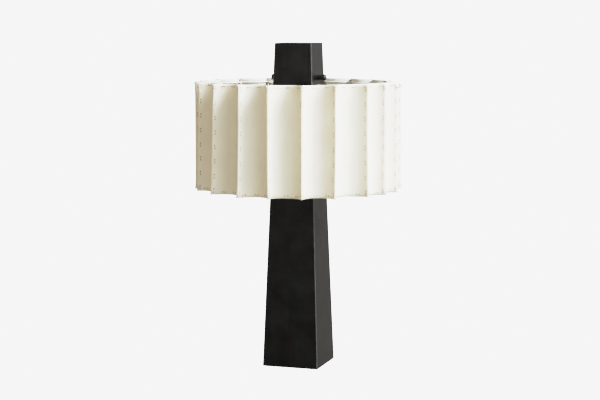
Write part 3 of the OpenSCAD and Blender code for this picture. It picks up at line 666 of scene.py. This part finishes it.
class Sheet:
    """One panel laid flat: its width, and the places of its stitches across and up."""

    def __init__(self, shade, number):
        sizes = settings().shade
        middle = Flute(shade, number, shade.middle)
        self.shade, self.number = shade, number
        self.half_arc = middle.radius * middle.half_angle
        self.half_width = self.half_arc - sizes.edge_gap / 2
        draw = random.Random(number + SHEET_SEED)
        self.shifts = [draw.uniform(-1, 1) * LEVEL_STRAY for _ in range(2)]
        self.curls = [draw.uniform(*CURLS) for _ in range(4)]
        side = self.half_width - sizes.row_inset
        half_pair = sizes.pair / 2
        low, high = shade.low + sizes.end_inset, shade.high - sizes.end_inset
        step = (high - low - sizes.pair) / (sizes.rows - 1)
        self.sides = [
            (edge, row, [Vector((edge * side, low + row * step + up, 0)) for up in (0, sizes.pair)])
            for edge in (-1, 1) for row in range(sizes.rows)
        ]
        self.levels = [
            (end, place, [
                Vector((self.shifts[end] + place * sizes.spacing + aside, (low, high)[end], 0))
                for aside in (-half_pair, half_pair)
            ])
            for end in (0, 1) for place in (-1, 0, 1)
        ]

    def holes(self):
        """Every hole of the sheet as the cuts cross, with how far the hand strayed there."""
        pairs = []
        for edge, row, spots in self.sides:
            ridge = (self.number + (edge > 0)) % self.shade.count
            for index, spot in enumerate(spots):
                pairs.append((spot, hand_stray(SIDE_HOLES, ridge, row, index, edge)))
        for end, place, spots in self.levels:
            for index, spot in enumerate(spots):
                pairs.append((spot, hand_stray(LEVEL_HOLES, self.number, place, index, end)))
        return pairs

    def bend(self, spot):
        """Takes a point of the flat sheet to the shade's outer face, and gives the way that faces."""
        flute = Flute(self.shade, self.number, spot.y)
        share = spot.x / self.half_arc
        return flute.place(share, -settings().shade.sheet), flute.facing(share)

    def curl(self, spot):
        """How far the nearest loose corner of the panel stands out at a point of the flat sheet."""
        shade = self.shade
        from_edge = self.half_width - abs(spot.x)
        from_end = min(spot.y - shade.low, shade.high - spot.y)
        fade = math.exp(-from_end / CURL_HEIGHT) * math.exp(-from_edge / CURL_WIDTH)
        corner = (spot.x > 0) + 2 * (spot.y > shade.middle)
        return settings().shade.ear * self.curls[corner] * fade


def cut_lines(bm, normal, places, low, high):
    """Cuts the part of the flat sheet between two heights along lines square to a direction."""
    for place in places:
        faces = {f for f in bm.faces if low < f.calc_center_median().y < high}
        edges = {e for f in faces for e in f.edges}
        verts = {v for f in faces for v in f.verts}
        bmesh.ops.bisect_plane(
            bm, geom=[*verts, *edges, *faces], dist=CUT_SLACK, plane_co=normal * place,
            plane_no=normal,
        )


def distinct(places):
    """The places in order, each once."""
    kept = []
    for place in sorted(places):
        if not kept or place - kept[-1] > SAME_CUT:
            kept.append(place)
    return kept


def spread(low, high, count, taken, clear):
    """Even places between two ends, without those too close to a taken one."""
    places = even(low, high, count)[1:-1]
    return [place for place in places if all(abs(place - other) > clear for other in taken)]


def prick(bm, holes, radius, rim):
    """Marks a round spot at each hole of a flat sheet, where two of its cuts cross, darkened as soiling
    and painted shade.
    """
    crossings = [min(bm.verts, key=lambda v: (v.co - spot).length_squared) for spot, _ in holes]
    patches = set(bmesh.ops.bevel(
        bm, geom=crossings, offset=rim, offset_type="OFFSET", segments=2, profile=0.5,
        affect="VERTICES", material=-1,
    )["faces"])
    for vert in {v for f in patches for v in f.verts}:
        spot, stray = min(holes, key=lambda hole: (hole[0] - vert.co).length_squared)
        out = vert.co - spot
        on_rim = out.length > radius / 2  # the others are the middles of the spots
        vert.co = spot + stray + out.normalized() * (rim if on_rim else 0)
    bmesh.ops.inset_region(bm, faces=list(patches), thickness=rim - radius, use_even_offset=True)
    # Marks the rims for the dark colour, soiling and painted shade of the holes.
    stain_and_hole_shade = bm.verts.layers.float["stain_and_hole_shade"]
    for vert in {v for f in patches for v in f.verts}:
        vert[stain_and_hole_shade] = 1.0


def make_sheet(sheet):
    """One sheet of parchment: cut, pricked and bent into its flute."""
    sizes = settings().shade
    shade = sheet.shade
    bm = bmesh.new()
    bm.verts.layers.float.new("stain_and_hole_shade")
    bmesh.ops.create_grid(bm, x_segments=1, y_segments=1, size=0.5)
    bmesh.ops.scale(bm, vec=(2 * sheet.half_width, shade.high - shade.low, 1), verts=bm.verts)
    bmesh.ops.translate(bm, vec=(0, shade.middle, 0), verts=bm.verts)
    holes = sheet.holes()
    clear = sizes.stain_and_hole_shade / 2 + sizes.stray
    taken = [*distinct(spot.y for spot, _ in holes), shade.middle]
    rows = taken + spread(shade.low, shade.high, 2 * sizes.rows, taken, clear)
    cut_lines(bm, Vector((0, 1, 0)), rows, shade.low, shade.high)
    for low, high in ((shade.low, shade.middle), (shade.middle, shade.high)):
        taken = distinct(spot.x for spot, _ in holes if low < spot.y < high)
        columns = taken + spread(-sheet.half_width, sheet.half_width, sizes.columns, taken, clear)
        cut_lines(bm, Vector((1, 0, 0)), columns, low, high)
    prick(bm, holes, sizes.hole / 2, sizes.stain_and_hole_shade / 2)
    bmesh.ops.recalc_face_normals(bm, faces=bm.faces)
    for vert in bm.verts:
        flat = vert.co.copy()
        spot, facing = sheet.bend(flat)
        spot += (facing + outwards(spot)) * sheet.curl(flat) * CURL_LENGTH
        wave = noise.noise(spot * Vector(END_WAVES)) * END_WAVE
        spot.z += wave * (1 if flat.y > shade.middle else -1)
        vert.co = spot
    return bm


def sweep(points, radius, sides):
    """A round rod along a path, closed at both ends."""
    bm = bmesh.new()
    ways = [(b - a).normalized() for a, b in zip(points, points[1:])]
    bends = [ways[0]] + [(a + b).normalized() for a, b in zip(ways, ways[1:])] + [ways[-1]]
    ring = bmesh.ops.create_circle(bm, cap_ends=True, segments=sides, radius=radius)["verts"]
    turn = Vector((0, 0, 1)).rotation_difference(bends[0]).to_matrix()
    bmesh.ops.rotate(bm, verts=ring, cent=(0, 0, 0), matrix=turn)
    bmesh.ops.translate(bm, verts=ring, vec=points[0])
    edges = bm.edges[:]
    for here, spot, before, after in zip(points, points[1:], bends, bends[1:]):
        made = bmesh.ops.extrude_edge_only(bm, edges=edges)["geom"]
        verts = [g for g in made if isinstance(g, bmesh.types.BMVert)]
        edges = [g for g in made if isinstance(g, bmesh.types.BMEdge)]
        turn = before.rotation_difference(after).to_matrix()
        bmesh.ops.rotate(bm, verts=verts, cent=here, matrix=turn)
        bmesh.ops.translate(bm, verts=verts, vec=spot - here)
    bmesh.ops.holes_fill(bm, edges=edges, sides=0)
    bmesh.ops.recalc_face_normals(bm, faces=bm.faces)
    return bm


class Gathering:
    """Collects small shapes into one mesh."""

    def __init__(self):
        self.whole = bmesh.new()

    def add(self, bm):
        """Takes a shape in and frees it."""
        part = bpy.data.meshes.new("part")
        bm.to_mesh(part)
        bm.free()
        self.whole.from_mesh(part)
        bpy.data.meshes.remove(part)

    def bead(self, spot, radius):
        """Adds a drop of weld."""
        bm = bmesh.new()
        bmesh.ops.create_icosphere(bm, subdivisions=2, radius=radius)
        bmesh.ops.translate(bm, verts=bm.verts, vec=spot)
        self.add(bm)

    def smooth(self):
        """The mesh so far, shaded smooth."""
        for face in self.whole.faces:
            face.smooth = True
        return self.whole


class LAMP_OT_camera(Operator):
    """Place the camera where the lamp is seen from a little to its right and above."""

    bl_idname = "lamp.camera"
    bl_label = "Place Camera"

    def execute(self, context):
        stage = settings().stage
        lens = bpy.data.cameras.new("camera")
        lens.lens = stage.lens
        lens.sensor_width = FRAME_WIDTH
        lens.shift_x = stage.shift
        lens.clip_start, lens.clip_end = CAMERA_RANGE
        camera = bpy.data.objects.new("camera", lens)
        context.scene.collection.objects.link(camera)
        camera.location = (
            math.sin(stage.turn) * stage.distance, -math.cos(stage.turn) * stage.distance, stage.height,
        )
        camera.rotation_euler = (math.pi / 2 - stage.pitch, 0, stage.turn)
        context.scene.camera = camera
        return {"FINISHED"}


def add_sun(name, place, strength, tone):
    """A distant soft light at a place round the lamp and up."""
    light = bpy.data.lights.new(name, "SUN")
    light.energy = strength
    light.angle = math.radians(SUN_SPREAD)
    light.color = tone
    holder = bpy.data.objects.new(name, light)
    bpy.context.scene.collection.objects.link(holder)
    turn = settings().stage.turn + math.radians(place[0])
    rise = math.radians(place[1])
    towards = Vector(
        (math.sin(turn) * math.cos(rise), -math.cos(turn) * math.cos(rise), math.sin(rise)),
    )
    holder.rotation_euler = towards.to_track_quat("Z", "Y").to_euler()
    holder.location = towards * SUN_DISTANCE


def add_backdrop(name, bm, tone, strength, one_way=False):
    """A plain glowing surface that only the camera sees, from above only where it is one-way."""
    material, tree, shader, _ = new_finish(name, 1.0)
    shader.inputs["Base Color"].default_value = rgba(scaled(tone, STAGE_BASE))
    shader.inputs["Specular IOR Level"].default_value = 0.0
    shader.inputs["Emission Color"].default_value = rgba(tone)
    shader.inputs["Emission Strength"].default_value = strength
    if one_way:
        clear = add_node(tree, "ShaderNodeBsdfTransparent").outputs["BSDF"]
        behind = add_node(tree, "ShaderNodeNewGeometry").outputs["Backfacing"]
        halves = add_node(tree, "ShaderNodeMixShader", {0: behind, 1: shader.outputs["BSDF"], 2: clear})
        tree.links.new(halves.outputs["Shader"], tree.nodes["Material Output"].inputs["Surface"])
    mesh = bpy.data.meshes.new(name)
    bm.to_mesh(mesh)
    bm.free()
    mesh.materials.append(material)
    piece = bpy.data.objects.new(name, mesh)
    bpy.context.scene.collection.objects.link(piece)
    piece.visible_diffuse = False
    piece.visible_glossy = False
    piece.visible_shadow = False


def add_room_light(stage):
    """Soft light from all round: dim on the left, brighter on the right, dimmer again from below."""
    world = bpy.data.worlds.new("studio")
    bpy.context.scene.world = world
    world.use_nodes = True
    tree = world.node_tree
    way = add_node(tree, "ShaderNodeTexCoord").outputs["Generated"]
    turn = stage.turn + stage.bright_side
    towards = (math.sin(turn), -math.cos(turn), 0)
    side = add_node(
        tree, "ShaderNodeVectorMath", {0: way, 1: towards}, operation="DOT_PRODUCT",
    ).outputs["Value"]
    wall = remap(tree, side, -SIDE_FADE, SIDE_FADE, stage.dim_glow, stage.bright_glow)
    rise = add_node(tree, "ShaderNodeSeparateXYZ", {"Vector": way}).outputs["Z"]
    level = remap(tree, rise, *FLOOR_FADE, stage.floor_share, 1.0)
    glow = add_node(tree, "ShaderNodeMath", {0: wall, 1: level}, operation="MULTIPLY").outputs[0]
    back = tree.nodes["Background"]
    tone = blend_tones(
        tree, remap(tree, side, -SIDE_FADE, SIDE_FADE), stage.dim_tone, stage.bright_tone,
    )
    tree.links.new(tone, back.inputs["Color"])
    tree.links.new(glow, back.inputs["Strength"])


class LAMP_OT_stage(Operator):
    """Lay the plain pale floor and set the soft studio lights."""

    bl_idname = "lamp.stage"
    bl_label = "Set Stage"

    def execute(self, context):
        stage = settings().stage
        bm = bmesh.new()
        bmesh.ops.create_circle(bm, cap_ends=True, segments=96, radius=STAGE_REACH)
        add_backdrop("floor", bm, stage.backdrop, stage.backdrop_glow, one_way=True)
        bm = bmesh.new()
        bmesh.ops.create_icosphere(bm, subdivisions=3, radius=STAGE_REACH)
        add_backdrop("backdrop", bm, stage.backdrop, stage.backdrop_glow)
        add_room_light(stage)
        add_sun("key", KEY_PLACE, stage.key, stage.bright_tone)
        add_sun("fill", FILL_PLACE, stage.fill, stage.bright_tone)
        view = context.scene.view_settings
        view.view_transform = "Standard"
        view.use_curve_mapping = True
        curves = view.curve_mapping
        curves.extend = "HORIZONTAL"
        curves.use_clip = False
        for curve in curves.curves[:3]:
            for index, (x, y) in enumerate(FILM):
                if index < len(curve.points):
                    curve.points[index].location = (x, y)
                else:
                    curve.points.new(x, y)
            for point in curve.points:
                point.handle_type = "VECTOR"
        curves.update()
        return {"FINISHED"}


class LAMP_OT_steelwork(Operator):
    """Finish the column, the cap and the foot."""

    bl_idname = "lamp.steelwork"
    bl_label = "Finish Steelwork"

    def execute(self, context):
        colours = settings().colours
        column_low, column_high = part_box("column_shell")
        cap_low, cap_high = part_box("cap_shell")
        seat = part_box("cap_seat")[1]
        dress(
            blackened_steel(
                "blackened_column", colours, 2 * column_high.x, column_low.z, 2 * seat.x, column_high.z,
                COLUMN_SHADE_SHARES,
            ),
            "column_shell", "column_deck", "base_plate", "corner_tabs",
        )
        taper = (column_high.x - seat.x) / (column_high.z - column_low.z)
        top_half = seat.x - taper * (cap_high.z - cap_low.z)
        dress(
            blackened_steel("blackened_cap", colours, 2 * seat.x, cap_low.z, 2 * top_half, cap_high.z),
            "cap_shell", "cap_top", "cap_seat",
        )
        dress(black_turned_steel(colours), "right_thumb_screw", "left_thumb_screw")
        dress(
            zinc_plate(colours), "base_screws", "ballast_screws", "nipple", "lock_washer",
            "spacer_collar", "clamp_strap", "strap_washer", "weld_nuts",
        )
        dress(cast_iron(), "ballast_block")
        dress(wool_felt(), "felt_pad")
        dress(moulded_rubber(), "cord_grommet")
        return {"FINISHED"}


class LAMP_OT_fittings(Operator):
    """Finish the socket, the harp and the bulb."""

    bl_idname = "lamp.fittings"
    bl_label = "Finish Fittings"

    def execute(self, context):
        colours = settings().colours
        dress(
            lacquered_brass(colours), "nipple_nuts", "harp_saddle", "harp_ferrules", "harp_bow",
            "harp_stud", "socket_cap", "socket_shell", "socket_screw_shell", "socket_contact",
            "strap_nut", "right_pad", "left_pad", "bulb_contact",
        )
        dress(vulcanised_fibre(), "socket_liner")
        dress(glazed_porcelain(), "socket_body")
        dress(nickel_plate(), "bulb_base")
        dress(black_glass(), "bulb_insulator")
        dress(opal_glass(), "bulb_glass")
        return {"FINISHED"}


class LAMP_OT_shade_frame(Operator):
    """Bend the shade's wires to its ridges and flutes."""

    bl_idname = "lamp.shade_frame"
    bl_label = "Make Shade Frame"

    def execute(self, context):
        shade = Shade()
        coat = powder_coat(settings().colours)
        dress(coat, "spider_hub", "spider_arms")
        wire = shade.wire_radius
        low, high = shade.ring_heights
        uprights = Gathering()
        for number in range(shade.count):
            heights = even(low - wire, high + wire, UPRIGHT_STEPS)
            uprights.add(sweep([shade.wire(number, height) for height in heights], wire, WIRE_SIDES))
        add_piece("bent_uprights", uprights.smooth(), coat, "shade", "white_wire", "shade_uprights")
        for name, height in (("shade_bottom_ring", low), ("shade_top_ring", high)):
            ring = Gathering()
            for number in range(shade.count):
                ring.add(sweep(shade.ring_path(number, height), wire, WIRE_SIDES))
                ring.bead(shade.wire(number, height, -wire * BEAD_OUT), wire * BEAD_RADIUS)
            add_piece(
                name.replace("shade", "bent"), ring.smooth(), coat, "shade", "white_wire", name,
            )
        return {"FINISHED"}


class LAMP_OT_panels(Operator):
    """Cut, prick and bend the parchment panels."""

    bl_idname = "lamp.panels"
    bl_label = "Make Panels"

    def execute(self, context):
        shade = Shade()
        sheets = Gathering()
        sheets.whole.verts.layers.float.new("stain_and_hole_shade")
        for number in range(shade.count):
            sheets.add(make_sheet(Sheet(shade, number)))
        piece = add_piece(
            "parchment_panels", sheets.smooth(), parchment(settings().colours), "shade", "parchment",
            "shade_panels",
        )
        wall = piece.modifiers.new("thickness", "SOLIDIFY")
        wall.thickness = settings().shade.sheet
        wall.offset = -1
        return {"FINISHED"}


class LAMP_OT_stitches(Operator):
    """Lace the panels to the wires with waxed thread."""

    bl_idname = "lamp.stitches"
    bl_label = "Lace Stitches"

    def execute(self, context):
        shade = Shade()
        radius = settings().shade.thread / 2
        lacing = Gathering()
        ends = {}
        for number in range(shade.count):
            sheet = Sheet(shade, number)
            holes = [spot + stray for spot, stray in sheet.holes()]
            names = [((number + (edge > 0)) % shade.count, row) for edge, row, _ in sheet.sides]
            names += [None] * len(sheet.levels)  # level stitches go round no wire
            for name, first, second in zip(names, holes[::2], holes[1::2]):
                path = []
                for share, proud in STITCH:
                    spot, facing = sheet.bend(first.lerp(second, share))
                    path.append(spot + facing * (radius * STITCH_RISE + proud * MM))
                lacing.add(sweep(path, radius, STITCH_SIDES))
                if name:
                    for which in (0, -1):
                        ends.setdefault((*name, which), []).append(path[which])
        for (ridge, _, _), tips in ends.items():
            middle = shade.wire(ridge, (tips[0].z + tips[-1].z) / 2)
            out = outwards(middle)
            aside = Vector((-out.y, out.x, 0)) * (shade.wire_radius + radius)
            if (tips[0] - middle).dot(aside) > (tips[-1] - middle).dot(aside):
                tips.reverse()
            loop = [
                middle + aside * side - out * (shade.wire_radius * wires + radius * threads)
                for side, wires, threads in LOOP
            ]
            lacing.add(sweep([tips[0], *loop, tips[-1]], radius, LOOP_SIDES))
        add_piece("lacing", lacing.smooth(), waxed_thread(settings().colours), "shade", "parchment")
        return {"FINISHED"}


class LAMP_PT_sidebar(Panel):
    """Lists the lamp's settings and the operators that make it."""

    bl_label = "Table Lamp"
    bl_idname = "LAMP_PT_sidebar"
    bl_space_type = "VIEW_3D"
    bl_region_type = "UI"
    bl_category = "Lamp"

    def draw(self, context):
        layout = self.layout
        for group in (context.scene.lamp.shade, context.scene.lamp.colours, context.scene.lamp.stage):
            box = layout.box()
            for name in group.bl_rna.properties.keys():
                if name not in {"name", "rna_type"}:
                    box.prop(group, name)
        for operator in OPERATORS:
            layout.operator(operator.bl_idname)


OPERATORS = (
    LAMP_OT_camera, LAMP_OT_stage, LAMP_OT_steelwork, LAMP_OT_fittings, LAMP_OT_shade_frame,
    LAMP_OT_panels, LAMP_OT_stitches,
)
CLASSES = (
    LampShadeSizes, LampColours, LampStageSettings, LampSettings, *OPERATORS, LAMP_PT_sidebar,
)


def register():
    """Makes the settings, the operators and the panel known to Blender."""
    for cls in CLASSES:
        bpy.utils.register_class(cls)
    bpy.types.Scene.lamp = PointerProperty(type=LampSettings)


def unregister():
    """Takes them away again."""
    del bpy.types.Scene.lamp
    for cls in reversed(CLASSES):
        bpy.utils.unregister_class(cls)


def main():
    """Builds the whole lamp."""
    register()
    bpy.ops.lamp.camera()
    bpy.ops.lamp.stage()
    bpy.ops.lamp.steelwork()
    bpy.ops.lamp.fittings()
    bpy.ops.lamp.shade_frame()
    bpy.ops.lamp.panels()
    bpy.ops.lamp.stitches()


if __name__ == "__main__":
    main()
